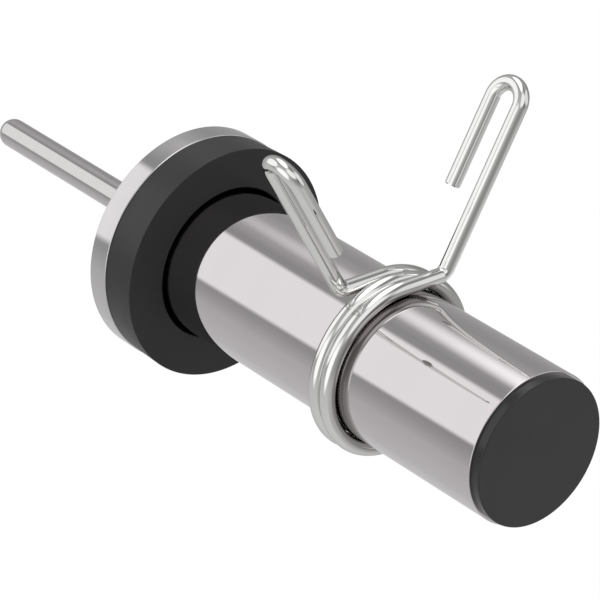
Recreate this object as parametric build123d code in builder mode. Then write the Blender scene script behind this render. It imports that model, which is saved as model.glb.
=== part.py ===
from build123d import *
import os
from math import cos, pi, radians, sin

# Magnetic loading pin for a weight stack, with a sleeve for bored weight plates and a
# bent wire collar that keeps them on. The axis lies along X: the pin points to -X, the
# sleeve to +X, and Z is up. The origin is on the axis, on the disc's magnet face.

# Stack pin, which goes through the hole of a weight in the stack
pin_diameter = 10.0
pin_reach = 103.0
pin_flange_diameter = 14.0
pin_flange_thickness = 3.0
thread_diameter = 8.0
thread_tail = 2.5
thread_bevel = 0.8

# Steel disc between the pin and the sleeve
disc_diameter = 78.6
disc_thickness = 8.0
disc_bevel = 0.35
boss_height = 4.0

# Magnets let into the disc's back face, each held by one countersunk screw
magnet_count = 6
magnet_margin = 3.8
magnet_start_angle = 30.0
magnet_diameter = 15.0
magnet_thickness = 4.0
magnet_recess = 0.2
screw_diameter = 4.0
screw_head_diameter = 8.0
screw_head_land = 0.3
screw_sink = 0.2
screw_tip_margin = 0.6
screw_socket_width = 2.5
screw_socket_depth = 1.5

# Rubber ring that cushions the first plate
bumper_overhang = 0.1
bumper_draft = 0.45
bumper_thickness = 13.1
bumper_gap = 1.1
bumper_edge_radius = 0.2

# Sleeve, a tube welded to the disc
sleeve_diameter = 50.0
sleeve_wall = 2.5
sleeve_length = 159.0
sleeve_bevel = 0.2
weld_leg = 0.9

# Washer, spring washer and nut on the pin's thread, inside the sleeve
washer_diameter = 24.0
washer_thickness = 2.0
lock_washer_section = 2.8
lock_washer_thickness = 2.0
lock_washer_slit = 1.0
lock_washer_slant = 1.2
nut_width = 13.0
nut_height = 6.5
nut_bevel = 0.7

# Plastic cap, pushed into the sleeve's open end
cap_inset = 0.8
cap_thickness = 3.4
cap_edge_radius = 0.3
plug_gap = 1.2
plug_length = 15.0
plug_wall = 2.0
barb_count = 3
barb_length = 2.4
barb_pitch = 4.2

# Collar, one bent wire: a close coil round the sleeve and two hairpin handles
wire_diameter = 5.0
wire_end_bevel = 0.4
coil_turns = 2
coil_gap = 0.1
collar_clearance = 0.3
collar_distance = 80.8
collar_turn = 1.7
run_length = 16.0
elbow_radius = 3.5
arm_angle = 29.7
arm_length = 55.6
hairpin_width = 11.9
hairpin_return = 30.5

# Clearances, all on the radius
seat_clearance = 0.1
thread_clearance = 0.05

# Places along the axis
disc_front = disc_thickness
boss_front = disc_front + boss_height
washer_front = boss_front + washer_thickness
lock_washer_front = washer_front + lock_washer_thickness
nut_front = lock_washer_front + nut_height
bumper_front = disc_front + bumper_thickness
sleeve_end = disc_front + sleeve_length
sleeve_bore = sleeve_diameter - 2 * sleeve_wall


def across(x):
    """The plane across the pin's axis at x."""
    return Plane.YZ.offset(x)


# Round pieces start at their plane and run forwards from it.
forwards = (Align.CENTER, Align.CENTER, Align.MIN)


# The disc's back face, which looks to -X, and the magnets' seats on it
disc_back = Plane(origin=(0, 0, 0), x_dir=(0, 0, 1), z_dir=(-1, 0, 0))
magnet_ring_radius = (disc_diameter - magnet_diameter) / 2 - magnet_margin
magnet_ring = PolarLocations(magnet_ring_radius, magnet_count, magnet_start_angle)
magnet_seats = [Plane(disc_back * place) for place in magnet_ring]

# The pin is one turned piece: a round nosed shank, a flange let flush into the disc,
# and a threaded end that the nut pulls up from inside the sleeve.
pin_radius = pin_diameter / 2
pin_flange_radius = pin_flange_diameter / 2
thread_radius = thread_diameter / 2
thread_end = nut_front + thread_tail
with BuildPart() as stack_pin:
    with BuildSketch(Plane.XZ):
        with BuildLine():
            nose_start = (pin_radius - pin_reach, pin_radius)
            RadiusArc((-pin_reach, 0), nose_start, pin_radius)
            Polyline(
                nose_start,
                (0, pin_radius),
                (0, pin_flange_radius),
                (pin_flange_thickness, pin_flange_radius),
                (pin_flange_thickness, thread_radius),
                (thread_end - thread_bevel, thread_radius),
                (thread_end, thread_radius - thread_bevel),
                (thread_end, 0),
                (-pin_reach, 0),
            )
        make_face()
    revolve(axis=Axis.X)

# The disc: a boss on its front centres the sleeve, a counterbore in its back takes the
# pin's flange, and a ring of pockets takes the magnets.
with BuildPart() as steel_disc:
    with Locations(across(0)):
        Cylinder(disc_diameter / 2, disc_thickness, align=forwards)
        chamfer(steel_disc.edges().filter_by(GeomType.CIRCLE), disc_bevel)
        Cylinder(sleeve_bore / 2 - seat_clearance, boss_front, align=forwards)
    with Locations(disc_back):
        CounterBoreHole(
            radius=thread_radius + seat_clearance,
            counter_bore_radius=pin_flange_radius + seat_clearance,
            counter_bore_depth=pin_flange_thickness,
        )
    with Locations(*magnet_seats):
        CounterBoreHole(
            radius=screw_diameter / 2 + thread_clearance,
            counter_bore_radius=magnet_diameter / 2 + seat_clearance,
            counter_bore_depth=magnet_thickness + magnet_recess,
        )

# Each magnet is a disc with a countersunk hole, set just below the disc's face, and its
# screw goes through it into a tapped hole. Both are turned about the magnet's own axis.
screw_radius = screw_diameter / 2
head_radius = screw_head_diameter / 2
head_top = magnet_recess + screw_sink
cone_start = head_top + screw_head_land
cone_end = cone_start + head_radius - screw_radius
screw_tip = disc_thickness - screw_tip_margin
magnets = []
magnet_screws = []
for seat in magnet_seats:
    seat_axis = Axis(seat.origin, -seat.z_dir)
    profile = Plane(origin=seat.origin, x_dir=-seat.z_dir, z_dir=seat.x_dir)
    with BuildPart() as magnet:
        with BuildSketch(profile):
            with BuildLine():
                Polyline(
                    (magnet_recess, head_radius + seat_clearance + cone_start - magnet_recess),
                    (magnet_recess, magnet_diameter / 2),
                    (magnet_recess + magnet_thickness, magnet_diameter / 2),
                    (magnet_recess + magnet_thickness, screw_radius + seat_clearance),
                    (cone_end, screw_radius + seat_clearance),
                    close=True,
                )
            make_face()
        revolve(axis=seat_axis)
    with BuildPart() as magnet_screw:
        with BuildSketch(profile):
            with BuildLine():
                Polyline(
                    (head_top, 0),
                    (head_top, head_radius),
                    (cone_start, head_radius),
                    (cone_end, screw_radius),
                    (screw_tip, screw_radius),
                    (screw_tip, 0),
                    close=True,
                )
            make_face()
        revolve(axis=seat_axis)
        with BuildSketch(seat.offset(-head_top)):
            RegularPolygon(screw_socket_width / 2, 6, major_radius=False)
        extrude(amount=-screw_socket_depth, mode=Mode.SUBTRACT)
    magnets.append(magnet)
    magnet_screws.append(magnet_screw)

# The rubber ring lies on the disc and leaves a narrow gap round the sleeve, where the
# weld is. Its side widens towards the front by the draft of its mould.
bumper_radius = disc_diameter / 2 + bumper_overhang
with BuildPart(across(disc_front)) as rubber_bumper:
    Cone(bumper_radius - bumper_draft, bumper_radius, bumper_thickness, align=forwards)
    Hole(sleeve_diameter / 2 + bumper_gap)
    rims = rubber_bumper.edges().filter_by(GeomType.CIRCLE).sort_by(SortBy.RADIUS)[-2:]
    fillet(rims, bumper_edge_radius)

with BuildPart(across(disc_front)) as sleeve_tube:
    Cylinder(sleeve_diameter / 2, sleeve_length, align=forwards)
    Hole(sleeve_bore / 2)
    mouth = sleeve_tube.faces().sort_by(Axis.X)[-1]
    chamfer(mouth.outer_wire().edges(), sleeve_bevel)

with BuildPart() as sleeve_weld:
    with BuildSketch(Plane.XY):
        with BuildLine():
            root = (disc_front, sleeve_diameter / 2)
            disc_toe = (disc_front, sleeve_diameter / 2 + weld_leg)
            Polyline(root, disc_toe, (disc_front + weld_leg, sleeve_diameter / 2), close=True)
        make_face()
    revolve(axis=Axis.X)

# What holds the pin: a wide washer on the boss, a split spring washer and a nut.
washer_hole = thread_radius + seat_clearance
with BuildPart(across(boss_front)) as pin_washer:
    Cylinder(washer_diameter / 2, washer_thickness, align=forwards)
    Hole(washer_hole)

lock_washer_radius = washer_hole + lock_washer_section
with BuildPart(across(washer_front)) as lock_washer:
    Cylinder(lock_washer_radius, lock_washer_thickness, align=forwards)
    Hole(washer_hole)
    with BuildSketch(Plane.XY):
        with BuildLine():
            Polyline(
                (washer_front, -lock_washer_slant),
                (washer_front, lock_washer_slit - lock_washer_slant),
                (lock_washer_front, lock_washer_slit + lock_washer_slant),
                (lock_washer_front, lock_washer_slant),
                close=True,
            )
        make_face()
    extrude(amount=lock_washer_radius, mode=Mode.SUBTRACT)

nut_corner_radius = nut_width / 2 / cos(pi / 6)
with BuildPart() as pin_nut:
    with BuildSketch(across(lock_washer_front)):
        RegularPolygon(nut_width / 2, 6, major_radius=False)
        Circle(thread_radius + thread_clearance, mode=Mode.SUBTRACT)
    extrude(amount=nut_height)
    with BuildSketch(Plane.XZ):
        with BuildLine():
            Polyline(
                (lock_washer_front, 0),
                (lock_washer_front, nut_corner_radius - nut_bevel),
                (lock_washer_front + nut_bevel / 2, nut_corner_radius),
                (nut_front - nut_bevel / 2, nut_corner_radius),
                (nut_front, nut_corner_radius - nut_bevel),
                (nut_front, 0),
                close=True,
            )
        make_face()
    revolve(axis=Axis.X, mode=Mode.INTERSECT)

# The cap's face lies on the sleeve's end, and its hollow plug grips the bore with barbs.
cap_radius = sleeve_diameter / 2 - cap_inset
plug_radius = sleeve_bore / 2 - plug_gap
barb_radius = sleeve_bore / 2 - seat_clearance
plug_end = sleeve_end - plug_length
with BuildPart() as end_cap:
    with BuildSketch(Plane.XZ):
        with BuildLine():
            Polyline(
                (sleeve_end, 0),
                (sleeve_end, plug_radius - plug_wall),
                (plug_end, plug_radius - plug_wall),
                (plug_end, plug_radius),
                (sleeve_end, plug_radius),
                (sleeve_end, cap_radius),
                (sleeve_end + cap_thickness, cap_radius),
                (sleeve_end + cap_thickness, 0),
                close=True,
            )
        make_face()
        for i in range(barb_count):
            barb_back = plug_end + (i + 1) * barb_pitch
            with BuildLine():
                Polyline(
                    (barb_back - barb_length, plug_radius),
                    (barb_back, barb_radius),
                    (barb_back, plug_radius),
                    close=True,
                )
            make_face()
    revolve(axis=Axis.X)
    rim = end_cap.faces().sort_by(Axis.X)[-1].outer_wire().edges()
    fillet(rim, cap_edge_radius)

# The collar is bent in its own frame, with the origin in the middle of the coil, x up
# between the handles, y to the left seen from the cap, and z along the sleeve. Half a
# turn about x maps one handle on the other.
coil_radius = sleeve_diameter / 2 + collar_clearance + wire_diameter / 2
coil_pitch = wire_diameter + coil_gap
coil_length = coil_turns * coil_pitch
run = Vector(0, -1, coil_pitch / (2 * pi * coil_radius)).normalized()
arm = Vector(cos(radians(arm_angle)), -sin(radians(arm_angle)), 0)
fold = Vector(0, 0, -hairpin_width)
coil_top = Vector(coil_radius, 0, coil_length / 2)
elbow = coil_top + run * run_length
arm_top = elbow + arm * arm_length
fold_top = arm_top + fold / 2 + arm * hairpin_width / 2
return_top = arm_top + fold
free_end = return_top - arm * hairpin_return


def on_handle(point, side):
    """A point of the front handle, or the same point of the back one."""
    return (point.X, side * point.Y, side * point.Z)


with BuildPart() as bent_wire:
    with BuildLine() as wire_path:
        Helix(
            pitch=coil_pitch,
            height=coil_length,
            radius=coil_radius,
            center=(0, 0, -coil_length / 2),
            lefthand=True,
        )
        for side in (1, -1):
            shank = [on_handle(point, side) for point in (coil_top, elbow, arm_top)]
            FilletPolyline(*shank, radius=elbow_radius)
            bend = [on_handle(point, side) for point in (arm_top, fold_top, return_top)]
            ThreePointArc(*bend)
            Line(on_handle(return_top, side), on_handle(free_end, side))
    wire_line = wire_path.wire()
    with BuildSketch(Plane(origin=wire_line @ 0, z_dir=wire_line % 0)):
        Circle(wire_diameter / 2)
    sweep(path=wire_line)
    wire_ends = bent_wire.faces().filter_by(GeomType.PLANE)
    chamfer(wire_ends.edges(), wire_end_bevel)

lean = radians(collar_turn)
collar_frame = Plane(
    origin=(bumper_front + collar_distance, 0, 0),
    x_dir=(0, sin(lean), cos(lean)),
    z_dir=(1, 0, 0),
)
with BuildPart() as spring_collar:
    with Locations(collar_frame):
        add(bent_wire.part)

pieces = {
    "stack_pin": stack_pin,
    "steel_disc": steel_disc,
    "rubber_bumper": rubber_bumper,
    "sleeve_tube": sleeve_tube,
    "sleeve_weld": sleeve_weld,
    "pin_washer": pin_washer,
    "lock_washer": lock_washer,
    "pin_nut": pin_nut,
    "end_cap": end_cap,
    "spring_collar": spring_collar,
}
for i in range(magnet_count):
    pieces[f"magnet_{i + 1}"] = magnets[i]
    pieces[f"magnet_screw_{i + 1}"] = magnet_screws[i]

os.makedirs("parts", exist_ok=True)
for name, piece in pieces.items():
    piece.part.label = name
    export_step(piece.part, f"parts/{name}.step")

wire_section = pi * (wire_diameter / 2) ** 2
print("collar wire", round(wire_line.length, 2), "mm long,", "volume over section times length:")
print(round(spring_collar.part.volume / (wire_section * wire_line.length), 5))
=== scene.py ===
import bmesh
import bpy
from math import atan, cos, hypot, pi, radians, sin, tan
from mathutils import Matrix, Vector


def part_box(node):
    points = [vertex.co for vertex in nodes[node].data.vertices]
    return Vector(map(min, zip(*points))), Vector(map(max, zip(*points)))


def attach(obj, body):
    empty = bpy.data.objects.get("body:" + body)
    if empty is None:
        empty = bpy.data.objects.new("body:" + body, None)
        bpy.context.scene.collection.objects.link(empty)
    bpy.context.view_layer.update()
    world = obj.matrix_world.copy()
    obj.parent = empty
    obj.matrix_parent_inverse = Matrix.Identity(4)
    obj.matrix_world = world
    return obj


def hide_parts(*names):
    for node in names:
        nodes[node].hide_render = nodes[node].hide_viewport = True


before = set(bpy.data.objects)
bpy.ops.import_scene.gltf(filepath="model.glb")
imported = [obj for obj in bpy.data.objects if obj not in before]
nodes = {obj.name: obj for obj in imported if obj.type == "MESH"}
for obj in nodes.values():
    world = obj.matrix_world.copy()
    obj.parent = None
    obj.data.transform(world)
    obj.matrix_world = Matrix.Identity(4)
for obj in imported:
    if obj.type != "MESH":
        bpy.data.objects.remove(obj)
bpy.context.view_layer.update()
print("frame loaded:", len(nodes), "nodes")

mm = 0.001  # every size below is a real one, in millimetres times mm


# Selecting, finishing and placing

def chooseOnly(piece):
    bpy.ops.object.select_all(action="DESELECT")
    piece.select_set(True)
    bpy.context.view_layer.objects.active = piece


def startEdit(piece):
    chooseOnly(piece)
    bpy.ops.object.mode_set(mode="EDIT")
    bpy.ops.mesh.select_mode(type="EDGE")
    bpy.ops.mesh.select_all(action="DESELECT")


def endEdit():
    bpy.ops.object.mode_set(mode="OBJECT")


def selectEdges(piece, wanted):
    mesh = bmesh.from_edit_mesh(piece.data)
    for edge in mesh.edges:
        edge.select_set(False)
    for edge in mesh.edges:
        if wanted(edge):
            edge.select_set(True)
    bmesh.update_edit_mesh(piece.data)


def pull(step):
    bpy.ops.mesh.extrude_region_move(TRANSFORM_OT_translate={"value": step})


def faceOutwards():
    bpy.ops.mesh.select_all(action="SELECT")
    bpy.ops.mesh.normals_make_consistent(inside=False)


def applyModifier(piece, kind, **settings):
    chooseOnly(piece)
    bpy.ops.object.modifier_add(type=kind)
    modifier = piece.modifiers[-1]
    for key, value in settings.items():
        setattr(modifier, key, value)
    bpy.ops.object.modifier_apply(modifier=modifier.name)


def cutAway(piece, cutter):
    applyModifier(piece, "BOOLEAN", operation="DIFFERENCE", solver="EXACT", object=cutter)
    bpy.data.objects.remove(cutter)


def bakePlace(piece):
    chooseOnly(piece)
    bpy.ops.object.transform_apply(location=True, rotation=True, scale=True)


def smoothShade(piece, angle=32):
    chooseOnly(piece)
    bpy.ops.object.shade_smooth_by_angle(angle=radians(angle))
    applyModifier(piece, "WEIGHTED_NORMAL", keep_sharp=True)


def namePiece(piece, name):
    piece.name = name
    piece.data.name = name


def fitPiece(piece, body, slot, material, *replaced):
    piece.data.materials.clear()
    piece.data.materials.append(material)
    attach(piece, body)
    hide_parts(*replaced)


# A turned piece is a ring that is extruded and resized along X, ring by ring. rings is a
# list of (place along X, radius). A hollow one joins its last ring to its first.

def turnPiece(name, rings, sides, hollow=False, centre=(0, 0)):
    bpy.ops.object.select_all(action="DESELECT")
    place, radius = rings[0]
    bpy.ops.mesh.primitive_circle_add(
        vertices=sides,
        radius=radius,
        location=(place, *centre),
        rotation=(0, radians(90), 0),
    )
    piece = bpy.context.object
    namePiece(piece, name)
    startEdit(piece)
    bpy.ops.mesh.select_all(action="SELECT")
    for nextPlace, nextRadius in rings[1:]:
        pull((nextPlace - place, 0, 0))
        grow = nextRadius / radius
        bpy.ops.transform.resize(value=(1, grow, grow), center_override=(nextPlace, *centre))
        place, radius = nextPlace, nextRadius
    selectEdges(piece, lambda edge: edge.is_boundary)
    if hollow:
        bpy.ops.mesh.bridge_edge_loops()
    else:
        bpy.ops.mesh.fill_holes(sides=0)
    faceOutwards()
    endEdit()
    bakePlace(piece)
    return piece


def bevelRing(piece, place, radius, width, segments=2, centre=(0, 0)):
    near = 0.02 * mm

    def onRing(edge):
        return all(
            abs(point.co.x - place) < near
            and abs(hypot(point.co.y - centre[0], point.co.z - centre[1]) - radius) < near
            for point in edge.verts
        )

    startEdit(piece)
    selectEdges(piece, onRing)
    bpy.ops.mesh.bevel(offset=width, segments=segments, affect="EDGES")
    endEdit()


def copyPiece(source, name, shift):
    chooseOnly(source)
    bpy.ops.object.duplicate(linked=False)
    copy = bpy.context.object
    namePiece(copy, name)
    bpy.ops.transform.translate(value=shift)
    bakePlace(copy)
    return copy


# Node helpers: a value may be a number, a colour or another node's output

def feed(tree, socket, value):
    if isinstance(value, bpy.types.NodeSocket):
        tree.links.new(value, socket)
    else:
        socket.default_value = value


def addNode(tree, kind, inputs, **settings):
    node = tree.nodes.new("ShaderNode" + kind)
    for key, value in settings.items():
        setattr(node, key, value)
    for key, value in inputs.items():
        feed(tree, node.inputs[key], value)
    return node


def maths(tree, operation, *values):
    return addNode(tree, "Math", dict(enumerate(values)), operation=operation).outputs[0]


def dot(tree, first, second):
    inputs = {0: first, 1: second}
    return addNode(tree, "VectorMath", inputs, operation="DOT_PRODUCT").outputs["Value"]


def mix(tree, share, first, second, kind="FLOAT"):
    inputs = {"Factor": share, "A": first, "B": second}
    return addNode(tree, "Mix", inputs, data_type=kind).outputs["Result"]


def spread(tree, value, between, low=0.0, high=1.0):
    inputs = {0: value, 1: between[0], 2: between[1], 3: low, 4: high}
    return addNode(tree, "MapRange", inputs, interpolation_type="SMOOTHSTEP").outputs[0]


def noise(tree, vector, scale, detail=2.0, roughness=0.5):
    inputs = {"Vector": vector, "Scale": scale, "Detail": detail, "Roughness": roughness}
    return addNode(tree, "TexNoise", inputs).outputs["Fac"]


reliefHeight = 0.02 * mm  # what a height of 1 stands for in every material


def bump(tree, height, strength):
    inputs = {"Height": height, "Strength": strength, "Distance": reliefHeight}
    return addNode(tree, "Bump", inputs).outputs["Normal"]


def newGroup(name, inputs, outputs):
    group = bpy.data.node_groups.new(name, "ShaderNodeTree")
    sockets = group.interface
    for label, kind, value in inputs:
        socket = sockets.new_socket(label, in_out="INPUT", socket_type="NodeSocket" + kind)
        if value is not None:
            socket.default_value = value
    for label in outputs:
        sockets.new_socket(label, in_out="OUTPUT", socket_type="NodeSocketFloat")
    start = group.nodes.new("NodeGroupInput").outputs
    end = group.nodes.new("NodeGroupOutput").inputs
    return group, start, end


def placeGroup(tree, group, inputs):
    return addNode(tree, "Group", inputs, node_tree=group).outputs


def newMaterial(name, **sockets):
    material = bpy.data.materials.new(name)
    material.use_nodes = True
    tree = material.node_tree
    shader = tree.nodes["Principled BSDF"].inputs
    for key, value in sockets.items():
        shader[key.replace("_", " ")].default_value = value
    place = tree.nodes.new("ShaderNodeTexCoord").outputs["Object"]
    return material, tree, shader, place


# Lathe lines run round the X axis: the noise reads only the place along the axis and the
# distance from it. Wider bands lie under the fine lines.

latheLook = {
    "linesPerMetre": 1500.0,
    "bandScale": 0.12,
    "bandHeight": 0.5,
    "shadeBetween": (0.35, 0.65),
}


def latheLinesGroup():
    group, start, end = newGroup(
        "latheLines",
        [("Place", "Vector", None), ("Lines per metre", "Float", latheLook["linesPerMetre"])],
        ["Height", "Shade", "From axis"],
    )
    parts = addNode(group, "SeparateXYZ", {0: start["Place"]}).outputs
    acrossSquare = maths(group, "MULTIPLY", parts["Y"], parts["Y"])
    square = maths(group, "MULTIPLY_ADD", parts["Z"], parts["Z"], acrossSquare)
    fromAxis = maths(group, "SQRT", square)
    flat = addNode(group, "CombineXYZ", {"X": parts["X"], "Y": fromAxis, "Z": 0.0}).outputs[0]
    fine = noise(group, flat, start["Lines per metre"], detail=3.0, roughness=0.7)
    bandScale = maths(group, "MULTIPLY", start["Lines per metre"], latheLook["bandScale"])
    bands = noise(group, flat, bandScale)
    height = maths(group, "MULTIPLY_ADD", bands, latheLook["bandHeight"], fine)
    group.links.new(fromAxis, end["From axis"])
    group.links.new(height, end["Height"])
    group.links.new(spread(group, bands, latheLook["shadeBetween"]), end["Shade"])
    return group


# Handling leaves a faint haze and a few broken hairlines on polished metal.

handlingLook = {
    "hazeScale": 45.0,
    "hazeBetween": (0.42, 0.7),
    "hairlineScale": 90.0,
    "hairlineStretch": (0.35, 1.0, 0.8),
    "hairlineWidth": 0.012,
    "breakScale": 160.0,
    "breakBetween": (0.5, 0.62),
}


def handlingGroup():
    group, start, end = newGroup(
        "handlingMarks",
        [
            ("Place", "Vector", None),
            ("Haze scale", "Float", handlingLook["hazeScale"]),
            ("Hairline scale", "Float", handlingLook["hairlineScale"]),
        ],
        ["Haze", "Hairlines"],
    )
    cloud = noise(group, start["Place"], start["Haze scale"], detail=4.0, roughness=0.6)
    group.links.new(spread(group, cloud, handlingLook["hazeBetween"]), end["Haze"])
    stretch = {0: start["Place"], 1: handlingLook["hairlineStretch"]}
    stretched = addNode(group, "VectorMath", stretch, operation="MULTIPLY").outputs[0]
    cells = addNode(
        group,
        "TexVoronoi",
        {"Vector": stretched, "Scale": start["Hairline scale"], "Randomness": 1.0},
        feature="DISTANCE_TO_EDGE",
    ).outputs["Distance"]
    line = spread(group, cells, (0.0, handlingLook["hairlineWidth"]), 1.0, 0.0)
    gaps = noise(group, start["Place"], handlingLook["breakScale"])
    broken = spread(group, gaps, handlingLook["breakBetween"])
    group.links.new(maths(group, "MULTIPLY", line, broken), end["Hairlines"])
    return group


# Moulded rubber and plastic take the fine grain of their mould, in slightly uneven patches.

grainLook = {
    "grainsPerMetre": 2500.0,
    "cellHeight": 0.6,
    "patchScale": 60.0,
    "patchBetween": (0.35, 0.7),
}


def mouldGrainGroup():
    group, start, end = newGroup(
        "mouldGrain",
        [("Place", "Vector", None), ("Grains per metre", "Float", grainLook["grainsPerMetre"])],
        ["Height", "Patches"],
    )
    fine = noise(group, start["Place"], start["Grains per metre"], detail=3.0, roughness=0.65)
    inputs = {"Vector": start["Place"], "Scale": start["Grains per metre"]}
    cells = addNode(group, "TexVoronoi", inputs).outputs["Distance"]
    height = maths(group, "MULTIPLY_ADD", cells, grainLook["cellHeight"], fine)
    patches = noise(group, start["Place"], grainLook["patchScale"], detail=4.0, roughness=0.6)
    group.links.new(height, end["Height"])
    group.links.new(spread(group, patches, grainLook["patchBetween"]), end["Patches"])
    return group


latheLines = latheLinesGroup()
handlingMarks = handlingGroup()
mouldGrain = mouldGrainGroup()


# Polished metal: one recipe, with each finish's own values. A finish may take painted shade:
# between two distances from the X axis its colour darkens, and nearer in it is as dark as its
# shade colour.

def polishedMetal(name, look):
    material, tree, shader, place = newMaterial(name, Metallic=1.0, IOR=1.5)
    marks = placeGroup(tree, handlingMarks, {"Place": place, "Haze scale": look["hazeScale"]})
    lines = placeGroup(
        tree, latheLines, {"Place": place, "Lines per metre": look["linesPerMetre"]}
    )
    hazy = spread(tree, marks["Haze"], (0.0, 1.0), look["roughness"], look["hazeRoughness"])
    scored = maths(tree, "MULTIPLY", marks["Hairlines"], look["hairlines"])
    feed(tree, shader["Roughness"], maths(tree, "ADD", hazy, scored))
    tone = mix(tree, lines["Shade"], look["colour"], look["lineColour"], "RGBA")
    if "paintedShadeColour" in look:
        # painted shade: nearer the X axis the colour darkens
        paintedShade = spread(tree, lines["From axis"], look["paintedShadeBetween"], 1.0, 0.0)
        tone = mix(tree, paintedShade, tone, look["paintedShadeColour"], "RGBA")
    feed(tree, shader["Base Color"], tone)
    shader["Specular Tint"].default_value = look.get("edgeTint", (1, 1, 1, 1))
    feed(tree, shader["Normal"], bump(tree, lines["Height"], look["lineDepth"]))
    return material


metalLooks = {
    "sleeveChrome": {
        "colour": (0.65, 0.615, 0.624, 1),
        "lineColour": (0.643, 0.608, 0.617, 1),
        "roughness": 0.025,
        "hazeRoughness": 0.045,
        "hazeScale": 45.0,
        "linesPerMetre": 900.0,
        "lineDepth": 0.02,
        "hairlines": 0.03,
    },
    "collarChrome": {
        "colour": (0.818, 0.818, 0.801, 1),
        "lineColour": (0.805, 0.805, 0.788, 1),
        "edgeTint": (0.7, 0.7, 0.7, 1),
        "paintedShadeColour": (0.46, 0.45, 0.44, 1),  # painted shade on the coil's inner side, where it faces the sleeve
        "paintedShadeBetween": (27.0 * mm, 29.6 * mm),
        "roughness": 0.02,
        "hazeRoughness": 0.05,
        "hazeScale": 120.0,
        "linesPerMetre": 300.0,
        "lineDepth": 0.02,
        "hairlines": 0.03,
    },
    "discSteel": {
        "colour": (0.638, 0.625, 0.625, 1),
        "lineColour": (0.625, 0.612, 0.612, 1),
        "roughness": 0.07,
        "hazeRoughness": 0.12,
        "hazeScale": 60.0,
        "linesPerMetre": 2600.0,
        "lineDepth": 0.05,
        "hairlines": 0.05,
    },
    "pinSteel": {
        "colour": (0.62, 0.6, 0.6, 1),
        "lineColour": (0.607, 0.588, 0.588, 1),
        "roughness": 0.09,
        "hazeRoughness": 0.14,
        "hazeScale": 80.0,
        "linesPerMetre": 3200.0,
        "lineDepth": 0.05,
        "hairlines": 0.05,
    },
    "magnetNickel": {
        "colour": (0.616, 0.598, 0.563, 1),
        "lineColour": (0.598, 0.581, 0.546, 1),
        "roughness": 0.16,
        "hazeRoughness": 0.26,
        "hazeScale": 150.0,
        "linesPerMetre": 2200.0,
        "lineDepth": 0.05,
        "hairlines": 0.1,
    },
    "zincSteel": {
        "colour": (0.546, 0.563, 0.581, 1),
        "lineColour": (0.51, 0.528, 0.546, 1),
        "roughness": 0.24,
        "hazeRoughness": 0.4,
        "hazeScale": 240.0,
        "linesPerMetre": 4000.0,
        "lineDepth": 0.12,
        "hairlines": 0.1,
    },
    "weldSteel": {
        "colour": (0.299, 0.273, 0.255, 1),
        "lineColour": (0.194, 0.185, 0.211, 1),
        "roughness": 0.35,
        "hazeRoughness": 0.55,
        "hazeScale": 400.0,
        "linesPerMetre": 1800.0,
        "lineDepth": 0.4,
        "hairlines": 0.0,
    },
}
metals = {name: polishedMetal(name, look) for name, look in metalLooks.items()}


# Moulded black: a piece with faceFrom has another roughness beyond that place along X.

def mouldedMaterial(name, look):
    material, tree, shader, place = newMaterial(name, Specular_IOR_Level=look["specular"])
    grain = placeGroup(
        tree, mouldGrain, {"Place": place, "Grains per metre": look["grainsPerMetre"]}
    )
    tone = mix(tree, grain["Patches"], look["colour"], look["patchColour"], "RGBA")
    feed(tree, shader["Base Color"], tone)
    rough = spread(
        tree, grain["Patches"], (0.0, 1.0), look["roughness"], look["patchRoughness"]
    )
    if "faceFrom" in look:
        along = addNode(tree, "SeparateXYZ", {0: place}).outputs["X"]
        face = maths(tree, "GREATER_THAN", along, look["faceFrom"])
        rough = mix(tree, face, rough, look["faceRoughness"])
    feed(tree, shader["Roughness"], rough)
    feed(tree, shader["Normal"], bump(tree, grain["Height"], look["grainDepth"]))
    return material


rubberBlack = mouldedMaterial("rubberBlack", {
    "colour": (0.007, 0.007, 0.0072, 1),
    "patchColour": (0.0085, 0.0085, 0.0087, 1),
    "specular": 0.58,
    "roughness": 0.42,
    "patchRoughness": 0.48,
    "faceFrom": 21.0 * mm,
    "faceRoughness": 0.62,
    "grainsPerMetre": 2600.0,
    "grainDepth": 0.12,
})
capPlastic = mouldedMaterial("capPlastic", {
    "colour": (0.0135, 0.0137, 0.0135, 1),
    "patchColour": (0.0155, 0.0157, 0.0155, 1),
    "specular": 0.43,
    "roughness": 0.21,
    "patchRoughness": 0.26,
    "grainsPerMetre": 3400.0,
    "grainDepth": 0.08,
})
print("materials made:", len(bpy.data.materials))


# Stack pin: a full round nose, the shank, the flush flange and the threaded end

pin = {
    "radius": 5 * mm,
    "noseSteps": 14,
    "flangeRadius": 7 * mm,
    "flangeThickness": 3 * mm,
    "flangeBevel": 0.2 * mm,
    "threadRadius": 4 * mm,
    "threadEnd": 25 * mm,
    "threadBevel": 0.8 * mm,
    "sides": 96,
}


def buildPin():
    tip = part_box("stack_pin")[0].x
    radius = pin["radius"]
    rings = []
    for step in range(1, pin["noseSteps"] + 1):
        angle = radians(90) * step / pin["noseSteps"]
        rings.append((tip + radius * (1 - cos(angle)), radius * sin(angle)))
    rings += [
        (0, radius),
        (0, pin["flangeRadius"]),
        (pin["flangeThickness"], pin["flangeRadius"]),
        (pin["flangeThickness"], pin["threadRadius"]),
        (pin["threadEnd"] - pin["threadBevel"], pin["threadRadius"]),
        (pin["threadEnd"], pin["threadRadius"] - pin["threadBevel"]),
    ]
    piece = turnPiece("stackPin", rings, pin["sides"])
    bevelRing(piece, 0, pin["flangeRadius"], pin["flangeBevel"])
    smoothShade(piece)
    fitPiece(piece, "pin_body", "pin_steel", metals["pinSteel"], "stack_pin")


buildPin()
print("pin made")


# Steel disc with its boss, the pin's counterbore and the magnets' pockets

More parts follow.
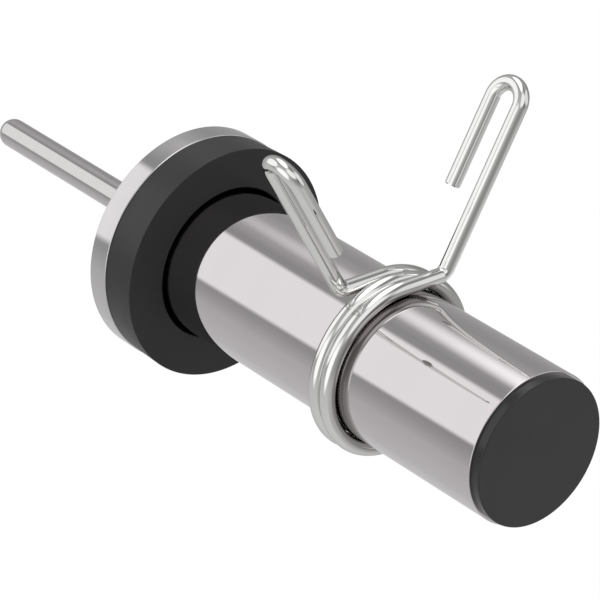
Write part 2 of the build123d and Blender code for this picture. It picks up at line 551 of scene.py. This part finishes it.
disc = {
    "radius": 39.3 * mm,
    "front": 8 * mm,
    "rimBevel": 0.35 * mm,
    "rimSegments": 3,
    "bossRadius": 22.4 * mm,
    "bossFront": 12 * mm,
    "flangeSeatRadius": 7.1 * mm,
    "flangeSeatDepth": 3 * mm,
    "flangeSeatBevel": 0.25 * mm,
    "pinHoleRadius": 4.1 * mm,
    "sides": 192,
}
seat = {
    "radius": 7.6 * mm,
    "depth": 4.2 * mm,
    "screwHoleRadius": 2.05 * mm,
    "bevel": 0.25 * mm,
    "sides": 64,
}
magnet = {
    "face": 0.2 * mm,
    "radius": 7.5 * mm,
    "back": 4.2 * mm,
    "mouthRadius": 4.6 * mm,
    "coneEnd": 2.7 * mm,
    "holeRadius": 2.1 * mm,
    "rimBevel": 0.3 * mm,
    "rimSegments": 3,
    "sides": 64,
}
magnetScrew = {
    "head": 0.4 * mm,
    "headRadius": 4 * mm,
    "land": 0.3 * mm,
    "radius": 2 * mm,
    "coneEnd": 2.7 * mm,
    "tip": 7.4 * mm,
    "rimBevel": 0.15 * mm,
    "socketWidth": 2.5 * mm,
    "socketDepth": 1.5 * mm,
    "socketSides": 6,
    "sides": 48,
}
cutterReach = 1 * mm  # how far a cutter stands out of what it cuts
magnetCount = sum(name.startswith("magnet_") and "screw" not in name for name in nodes)


def seatCentre(number):
    low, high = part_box(f"magnet_{number}")
    middle = (low + high) / 2
    return middle.y, middle.z


def buildDisc():
    rings = [
        (disc["bossFront"], disc["pinHoleRadius"]),
        (disc["flangeSeatDepth"], disc["pinHoleRadius"]),
        (disc["flangeSeatDepth"], disc["flangeSeatRadius"]),
        (0, disc["flangeSeatRadius"]),
        (0, disc["radius"]),
        (disc["front"], disc["radius"]),
        (disc["front"], disc["bossRadius"]),
        (disc["bossFront"], disc["bossRadius"]),
    ]
    piece = turnPiece("steelDisc", rings, disc["sides"], hollow=True)
    for place in (0, disc["front"]):
        bevelRing(piece, place, disc["radius"], disc["rimBevel"], disc["rimSegments"])
    bevelRing(piece, 0, disc["flangeSeatRadius"], disc["flangeSeatBevel"])
    cutterRings = [
        (-cutterReach, seat["radius"]),
        (seat["depth"], seat["radius"]),
        (seat["depth"], seat["screwHoleRadius"]),
        (disc["front"] + cutterReach, seat["screwHoleRadius"]),
    ]
    for number in range(1, magnetCount + 1):
        centre = seatCentre(number)
        cutAway(piece, turnPiece("seatCutter", cutterRings, seat["sides"], centre=centre))
        bevelRing(piece, 0, seat["radius"], seat["bevel"], centre=centre)
    smoothShade(piece)
    fitPiece(piece, "pin_body", "disc_steel", metals["discSteel"], "steel_disc")


def buildMagnet(centre):
    rings = [
        (magnet["face"], magnet["mouthRadius"]),
        (magnet["face"], magnet["radius"]),
        (magnet["back"], magnet["radius"]),
        (magnet["back"], magnet["holeRadius"]),
        (magnet["coneEnd"], magnet["holeRadius"]),
    ]
    piece = turnPiece("magnet1", rings, magnet["sides"], hollow=True, centre=centre)
    rim = (magnet["face"], magnet["radius"], magnet["rimBevel"], magnet["rimSegments"])
    bevelRing(piece, *rim, centre)
    smoothShade(piece)
    return piece


def buildScrew(centre):
    head = magnetScrew["head"]
    headRadius = magnetScrew["headRadius"]
    rings = [
        (head, headRadius),
        (head + magnetScrew["land"], headRadius),
        (magnetScrew["coneEnd"], magnetScrew["radius"]),
        (magnetScrew["tip"], magnetScrew["radius"]),
    ]
    piece = turnPiece("magnetScrew1", rings, magnetScrew["sides"], centre=centre)
    bevelRing(piece, head, headRadius, magnetScrew["rimBevel"], centre=centre)
    socketSides = magnetScrew["socketSides"]
    corner = magnetScrew["socketWidth"] / 2 / cos(pi / socketSides)
    socketRings = [
        (head - cutterReach, corner),
        (head + magnetScrew["socketDepth"], corner),
    ]
    cutAway(piece, turnPiece("socketCutter", socketRings, socketSides, centre=centre))
    smoothShade(piece)
    return piece


buildDisc()
firstCentre = seatCentre(1)
magnetPieces = [buildMagnet(firstCentre)]
screwPieces = [buildScrew(firstCentre)]
for number in range(2, magnetCount + 1):
    centre = seatCentre(number)
    shift = (0, centre[0] - firstCentre[0], centre[1] - firstCentre[1])
    magnetPieces.append(copyPiece(magnetPieces[0], f"magnet{number}", shift))
    screwPieces.append(copyPiece(screwPieces[0], f"magnetScrew{number}", shift))
for number, piece in enumerate(magnetPieces, 1):
    fitPiece(piece, "pin_body", "magnet_nickel", metals["magnetNickel"], f"magnet_{number}")
for number, piece in enumerate(screwPieces, 1):
    fitPiece(piece, "pin_body", "zinc_steel", metals["zincSteel"], f"magnet_screw_{number}")
print("disc, magnets and their screws made")


# Rubber ring, a little wider at its front

bumper = {
    "back": 8 * mm,
    "front": 21.1 * mm,
    "backRadius": 38.95 * mm,
    "frontRadius": 39.399 * mm,
    "boreRadius": 26.1 * mm,
    "rimBevel": 0.2 * mm,
    "rimSegments": 5,
    "boreBevel": 0.4 * mm,
    "boreSegments": 4,
    "sides": 192,
}


def buildBumper():
    outerRims = [
        (bumper["back"], bumper["backRadius"]),
        (bumper["front"], bumper["frontRadius"]),
    ]
    rings = [
        (bumper["back"], bumper["boreRadius"]),
        *outerRims,
        (bumper["front"], bumper["boreRadius"]),
    ]
    piece = turnPiece("rubberBumper", rings, bumper["sides"], hollow=True)
    for place, radius in outerRims:
        bevelRing(piece, place, radius, bumper["rimBevel"], bumper["rimSegments"])
    mouth = (bumper["front"], bumper["boreRadius"])
    bevelRing(piece, *mouth, bumper["boreBevel"], bumper["boreSegments"])
    smoothShade(piece)
    fitPiece(piece, "pin_body", "rubber", rubberBlack, "rubber_bumper")


buildBumper()


# Sleeve tube and its cap, which is a face disc on a plug with barbs

sleeve = {
    "back": 8 * mm,
    "end": 167 * mm,
    "radius": 25 * mm,
    "boreRadius": 22.5 * mm,
    "mouthBevel": 0.28 * mm,
    "mouthSegments": 4,
    "sides": 240,
}
cap = {
    "face": 170.4 * mm,
    "radius": 24.2 * mm,
    "edgeBevel": 0.3 * mm,
    "edgeSegments": 8,
    "plugEnd": 152 * mm,
    "plugRadius": 21.3 * mm,
    "plugBore": 19.3 * mm,
    "barbRadius": 22.4 * mm,
    "barbCount": 3,
    "barbLength": 2.4 * mm,
    "barbPitch": 4.2 * mm,
    "sides": 192,
}


def buildSleeve():
    rings = [
        (sleeve["back"], sleeve["boreRadius"]),
        (sleeve["back"], sleeve["radius"]),
        (sleeve["end"], sleeve["radius"]),
        (sleeve["end"], sleeve["boreRadius"]),
    ]
    piece = turnPiece("sleeveTube", rings, sleeve["sides"], hollow=True)
    mouth = (sleeve["end"], sleeve["radius"])
    bevelRing(piece, *mouth, sleeve["mouthBevel"], sleeve["mouthSegments"])
    smoothShade(piece)
    fitPiece(piece, "pin_body", "sleeve_chrome", metals["sleeveChrome"], "sleeve_tube")


def buildCap():
    rings = [
        (sleeve["end"], cap["plugBore"]),
        (cap["plugEnd"], cap["plugBore"]),
        (cap["plugEnd"], cap["plugRadius"]),
    ]
    for number in range(1, cap["barbCount"] + 1):
        back = cap["plugEnd"] + number * cap["barbPitch"]
        rings += [
            (back - cap["barbLength"], cap["plugRadius"]),
            (back, cap["barbRadius"]),
            (back, cap["plugRadius"]),
        ]
    rings += [
        (sleeve["end"], cap["plugRadius"]),
        (sleeve["end"], cap["radius"]),
        (cap["face"], cap["radius"]),
    ]
    piece = turnPiece("endCap", rings, cap["sides"])
    bevelRing(piece, cap["face"], cap["radius"], cap["edgeBevel"], cap["edgeSegments"])
    smoothShade(piece)
    fitPiece(piece, "pin_body", "cap_plastic", capPlastic, "end_cap")


buildSleeve()
buildCap()
print("rubber ring, sleeve and cap made")


# Spring collar: one wire, bent as on a bench. The section is screwed round into the close
# coil, and then each end is pulled and bent: run, elbow, arm, hairpin and free end. It is
# bent in its own frame, with X up between the handles and Z along the sleeve.

collar = {
    "wireRadius": 2.497 * mm,
    "wireSides": 28,
    "coilRadius": 27.8 * mm,
    "coilGap": 0.106 * mm,
    "turns": 2,
    "stepsPerTurn": 120,
    "middle": 101.9 * mm,  # along the sleeve
    "lean": 1.7,  # degrees round the sleeve
    "runLength": 16 * mm,
    "elbowRadius": 3.5 * mm,
    "elbowSteps": 12,
    "armAngle": 29.7,  # degrees to each side
    "armLength": 55.6 * mm,
    "hairpinWidth": 11.9 * mm,
    "hairpinSteps": 32,
    "freeLength": 30.5 * mm,
    "freeBevel": 0.4 * mm,
    "smoothAngle": 40,
}
coilPitch = 2 * collar["wireRadius"] + collar["coilGap"]
coilClimb = coilPitch / (2 * pi * collar["coilRadius"])
coilHalf = collar["turns"] * coilPitch / 2


def bend(middle, axis, angle, steps):
    # mesh.spin turns the other way round its axis, so the angle is negative
    bpy.ops.mesh.spin(steps=steps, angle=-angle, center=middle, axis=axis.normalized())


def bendHandle(piece, side):
    def turned(x, y, z):
        return Vector((x, side * y, side * z))

    coilEnd = turned(collar["coilRadius"], 0, coilHalf)
    run = turned(0, -1, coilClimb).normalized()
    armAngle = radians(collar["armAngle"])
    arm = turned(cos(armAngle), -sin(armAngle), 0)
    fold = turned(0, 0, -1)
    turn = run.angle(arm)
    setBack = collar["elbowRadius"] * tan(turn / 2)
    inward = (arm - run * arm.dot(run)).normalized()
    elbowStart = coilEnd + run * (collar["runLength"] - setBack)
    elbowMiddle = elbowStart + inward * collar["elbowRadius"]
    armTop = coilEnd + run * collar["runLength"] + arm * collar["armLength"]
    hairpinMiddle = armTop + fold * collar["hairpinWidth"] / 2
    freeEnd = armTop + fold * collar["hairpinWidth"] - arm * collar["freeLength"]

    startEdit(piece)
    selectEdges(piece, lambda edge: edge.is_boundary and side * edge.verts[0].co.z > 0)
    pull(run * (collar["runLength"] - setBack))
    bend(elbowMiddle, run.cross(arm), turn, collar["elbowSteps"])
    pull(arm * (collar["armLength"] - setBack))
    bend(hairpinMiddle, arm.cross(fold), pi, collar["hairpinSteps"])
    pull(-arm * (collar["freeLength"] - collar["freeBevel"]))
    pull(-arm * collar["freeBevel"])
    shrink = 1 - collar["freeBevel"] / collar["wireRadius"]
    bpy.ops.transform.resize(value=(shrink, shrink, shrink), center_override=freeEnd)
    bpy.ops.mesh.edge_face_add()
    endEdit()


def buildCollar():
    bpy.ops.object.select_all(action="DESELECT")
    bpy.ops.mesh.primitive_circle_add(
        vertices=collar["wireSides"],
        radius=collar["wireRadius"],
        location=(collar["coilRadius"], 0, -coilHalf),
        rotation=(radians(90) - atan(coilClimb), 0, 0),
    )
    piece = bpy.context.object
    namePiece(piece, "springCollar")
    bakePlace(piece)
    applyModifier(
        piece,
        "SCREW",
        axis="Z",
        angle=-2 * pi,
        screw_offset=coilPitch,
        iterations=collar["turns"],
        steps=collar["stepsPerTurn"],
        render_steps=collar["stepsPerTurn"],
        use_normal_calculate=True,
    )
    for side in (1, -1):
        bendHandle(piece, side)
    startEdit(piece)
    faceOutwards()
    endEdit()
    lean = radians(collar["lean"])
    up = Vector((0, sin(lean), cos(lean)))
    along = Vector((1, 0, 0))
    placed = Matrix((up, along.cross(up), along)).transposed().to_4x4()
    placed.translation = (collar["middle"], 0, 0)
    piece.matrix_world = placed
    bakePlace(piece)
    smoothShade(piece, collar["smoothAngle"])
    fitPiece(piece, "collar", "collar_chrome", metals["collarChrome"], "spring_collar")


buildCollar()
print("collar made")


# Pieces that stay as the frame gives them, hidden inside the sleeve and the rubber ring

for name, metal in (
    ("pin_washer", "zincSteel"),
    ("lock_washer", "zincSteel"),
    ("pin_nut", "zincSteel"),
    ("sleeve_weld", "weldSteel"),
):
    nodes[name].data.materials.clear()
    nodes[name].data.materials.append(metals[metal])
print("inner pieces finished")


# Studio: the metal sees six large soft lamps and five dull cards in a room whose level goes
# by the angle round X, from 0 straight up through 90 at +Y to 180 straight down. Towards +X
# the room has one level all round, and it dims.

studio = {
    "roomLevels": (
        (-180, 0.656),
        (-150, 0.642),
        (-122, 0.591),
        (-100, 0.433),
        (-85, 0.373),
        (-60, 0.525),
        (-30, 0.448),
        (0, 0.382),
        (20, 0.539),
        (45, 0.493),
        (65, 0.392),
        (90, 0.41),
        (115, 0.434),
        (130, 0.636),
        (180, 0.682),
    ),
    "aheadBetween": (0.467, 1.088),  # a direction's X, from the room's level to the one ahead
    "dimBetween": (0.7, 1.0),
    "aheadLevels": (0.42, 0.278),
    "softLight": 0.9,  # what plain surfaces get from all round
    "lampSize": 0.9,
    "lampTarget": (0.05, 0, 0),
}

# These show only in gloss. A lamp's or card's middle is given by its angle round X and its
# angle from +X, and its half sizes and tilt are angles too, all in degrees. The edge is the
# share of the half size over which it fades. A later one covers an earlier one.

mirrored = {
    "frontLamp": {
        "round": -84.3,
        "fromFront": 83.1,
        "long": 26.8,
        "wide": 29.4,
        "tilt": 40,
        "level": 1.22,
        "edge": 0.31,
    },
    "topLamp": {
        "round": 11.2,
        "fromFront": 101.3,
        "long": 33,
        "wide": 17.2,
        "tilt": 36.7,
        "level": 2.16,
        "edge": 0.27,
    },
    "cameraLamp": {
        "round": -12.8,
        "fromFront": 42,
        "long": 25.7,
        "wide": 27.3,
        "tilt": 12,
        "level": 1.01,
        "edge": 0.214,
    },
    "sideLamp": {
        "round": 70.9,
        "fromFront": 53,
        "long": 24.9,
        "wide": 28,
        "tilt": -32,
        "level": 0.875,
        "edge": 0.13,
    },
    "pinLamp": {
        "round": -49.7,
        "fromFront": 139.1,
        "long": 32.8,
        "wide": 27.5,
        "tilt": -2,
        "level": 1.12,
        "edge": 0.085,
    },
    "farLamp": {
        "round": 134,
        "fromFront": 100.5,
        "long": 32.5,
        "wide": 7.6,
        "tilt": 0,
        "level": 1.1,
        "edge": 0.27,
    },
    "topCard": {
        "round": 30.4,
        "fromFront": 72.2,
        "long": 21,
        "wide": 9.5,
        "tilt": 32,
        "level": 0.253,
        "edge": 0.37,
    },
    "backCard": {
        "round": 177,
        "fromFront": 171,
        "long": 21,
        "wide": 18.4,
        "tilt": 0,
        "level": 0.541,
        "edge": 0.45,
    },
    "lowCard": {
        "round": -172,
        "fromFront": 38.5,
        "long": 15.7,
        "wide": 22,
        "tilt": 5,
        "level": 0.534,
        "edge": 0.3,
    },
    "sideCard": {
        "round": 84.6,
        "fromFront": 93.8,
        "long": 28.3,
        "wide": 17,
        "tilt": -16.5,
        "level": 0.302,
        "edge": 0.31,
    },
    "noseCard": {
        "round": 66.6,
        "fromFront": 16.3,
        "long": 9.7,
        "wide": 9.5,
        "tilt": 0,
        "level": 0.169,
        "edge": 0.3,
    },
}
floor = {
    "height": -300 * mm,
    "size": 12.0,
    "colour": (0.9, 0.9, 0.9, 1),
    "whiteShare": 0.86,  # the rest keeps the shadow
}
keyLamp = {
    "place": (0.5, -1.1, 1.2),
    "power": 9.0,
}
fillLamp = {
    "place": (-0.9, 0.9, 0.9),
    "power": 4.0,
}
camera = {
    "place": (813.7 * mm, -615.02 * mm, 555.98 * mm),
    "direction": (-0.674239, 0.549027, -0.49393),
    "lens": 212.99,
    "sensor": 36.0,
    "clipStart": 0.01,
    "clipEnd": 50,
}


def clearTree(owner):
    owner.use_nodes = True
    owner.node_tree.nodes.clear()
    return owner.node_tree


def splitRays(tree):
    rays = tree.nodes.new("ShaderNodeLightPath").outputs
    plain = maths(tree, "MAXIMUM", rays["Is Camera Ray"], rays["Is Transmission Ray"])
    return plain, rays["Is Glossy Ray"]


def hangMirrored(tree, direction, level, look):
    around, fromFront, tilt = (radians(look[key]) for key in ("round", "fromFront", "tilt"))
    up, across = cos(around), sin(around)
    middle = Vector((cos(fromFront), sin(fromFront) * across, sin(fromFront) * up))
    down = Vector((-sin(fromFront), cos(fromFront) * across, cos(fromFront) * up))
    side = Vector((0, up, -across))
    long = (down * cos(tilt) + side * sin(tilt)) / sin(radians(look["long"]))
    wide = (side * cos(tilt) - down * sin(tilt)) / sin(radians(look["wide"]))
    alongLong = maths(tree, "POWER", dot(tree, direction, long), 2.0)
    alongWide = maths(tree, "POWER", dot(tree, direction, wide), 2.0)
    fromMiddle = maths(tree, "SQRT", maths(tree, "ADD", alongLong, alongWide))
    lit = spread(tree, fromMiddle, (1 - look["edge"], 1 + look["edge"]), 1.0, 0.0)
    ahead = maths(tree, "GREATER_THAN", dot(tree, direction, middle), 0.0)
    return mix(tree, maths(tree, "MULTIPLY", lit, ahead), level, look["level"])


def paintRoom(tree, direction):
    parts = addNode(tree, "SeparateXYZ", {0: direction}).outputs
    angle = maths(tree, "ARCTAN2", parts["Y"], parts["Z"])
    share = maths(tree, "MULTIPLY_ADD", angle, 1 / (2 * pi), 0.5)
    ramp = addNode(tree, "ValToRGB", {"Fac": share})
    stops = ramp.color_ramp.elements  # the new ramp has two already
    for number, (degrees, level) in enumerate(studio["roomLevels"]):
        place = degrees / 360 + 0.5
        stop = stops[number] if number < len(stops) else stops.new(place)
        stop.position = place
        stop.color = (level, level, level, 1)
    ahead = spread(tree, parts["X"], studio["aheadBetween"])
    aheadLevel = spread(tree, parts["X"], studio["dimBetween"], *studio["aheadLevels"])
    return mix(tree, ahead, ramp.outputs["Color"], aheadLevel)


def buildWorld():
    world = bpy.data.worlds.new("studio")
    bpy.context.scene.world = world
    tree = clearTree(world)
    direction = tree.nodes.new("ShaderNodeTexCoord").outputs["Generated"]
    level = paintRoom(tree, direction)
    for look in mirrored.values():
        level = hangMirrored(tree, direction, level, look)
    plain, glossy = splitRays(tree)
    seen = mix(tree, plain, mix(tree, glossy, studio["softLight"], level), 1.0)
    background = addNode(tree, "Background", {"Color": seen, "Strength": 1.0}).outputs[0]
    output = tree.nodes.new("ShaderNodeOutputWorld")
    tree.links.new(background, output.inputs["Surface"])


def buildFloor():
    bpy.ops.object.select_all(action="DESELECT")
    bpy.ops.mesh.primitive_plane_add(size=floor["size"], location=(0, 0, floor["height"]))
    ground = bpy.context.object
    ground.name = "studioFloor"
    material = bpy.data.materials.new("floorWhite")
    tree = clearTree(material)
    share = maths(tree, "MULTIPLY", splitRays(tree)[0], floor["whiteShare"])
    matte = addNode(tree, "BsdfDiffuse", {"Color": floor["colour"]}).outputs[0]
    white = addNode(tree, "Emission", {"Color": (1, 1, 1, 1), "Strength": 1.0}).outputs[0]
    mixed = addNode(tree, "MixShader", {0: share, 1: matte, 2: white}).outputs[0]
    output = tree.nodes.new("ShaderNodeOutputMaterial")
    tree.links.new(mixed, output.inputs["Surface"])
    ground.data.materials.append(material)
    ground.visible_glossy = False


def hangAt(name, fitting, place, direction):
    holder = bpy.data.objects.new(name, fitting)
    bpy.context.scene.collection.objects.link(holder)
    holder.location = place
    holder.rotation_euler = Vector(direction).to_track_quat("-Z", "Y").to_euler()
    return holder


def hangLamp(name, look):
    lamp = bpy.data.lights.new(name, "AREA")
    lamp.size = studio["lampSize"]
    lamp.energy = look["power"]
    direction = Vector(studio["lampTarget"]) - Vector(look["place"])
    holder = hangAt(name, lamp, look["place"], direction)
    holder.visible_glossy = False
    holder.visible_camera = False


def setCamera():
    lens = bpy.data.cameras.new("photoCamera")
    lens.lens = camera["lens"]
    lens.sensor_width = camera["sensor"]
    lens.clip_start = camera["clipStart"]
    lens.clip_end = camera["clipEnd"]
    holder = hangAt("photoCamera", lens, camera["place"], camera["direction"])
    bpy.context.scene.camera = holder


buildWorld()
buildFloor()
hangLamp("keyLamp", keyLamp)
hangLamp("fillLamp", fillLamp)
setCamera()
bpy.context.scene.view_settings.view_transform = "Standard"
print("studio set")
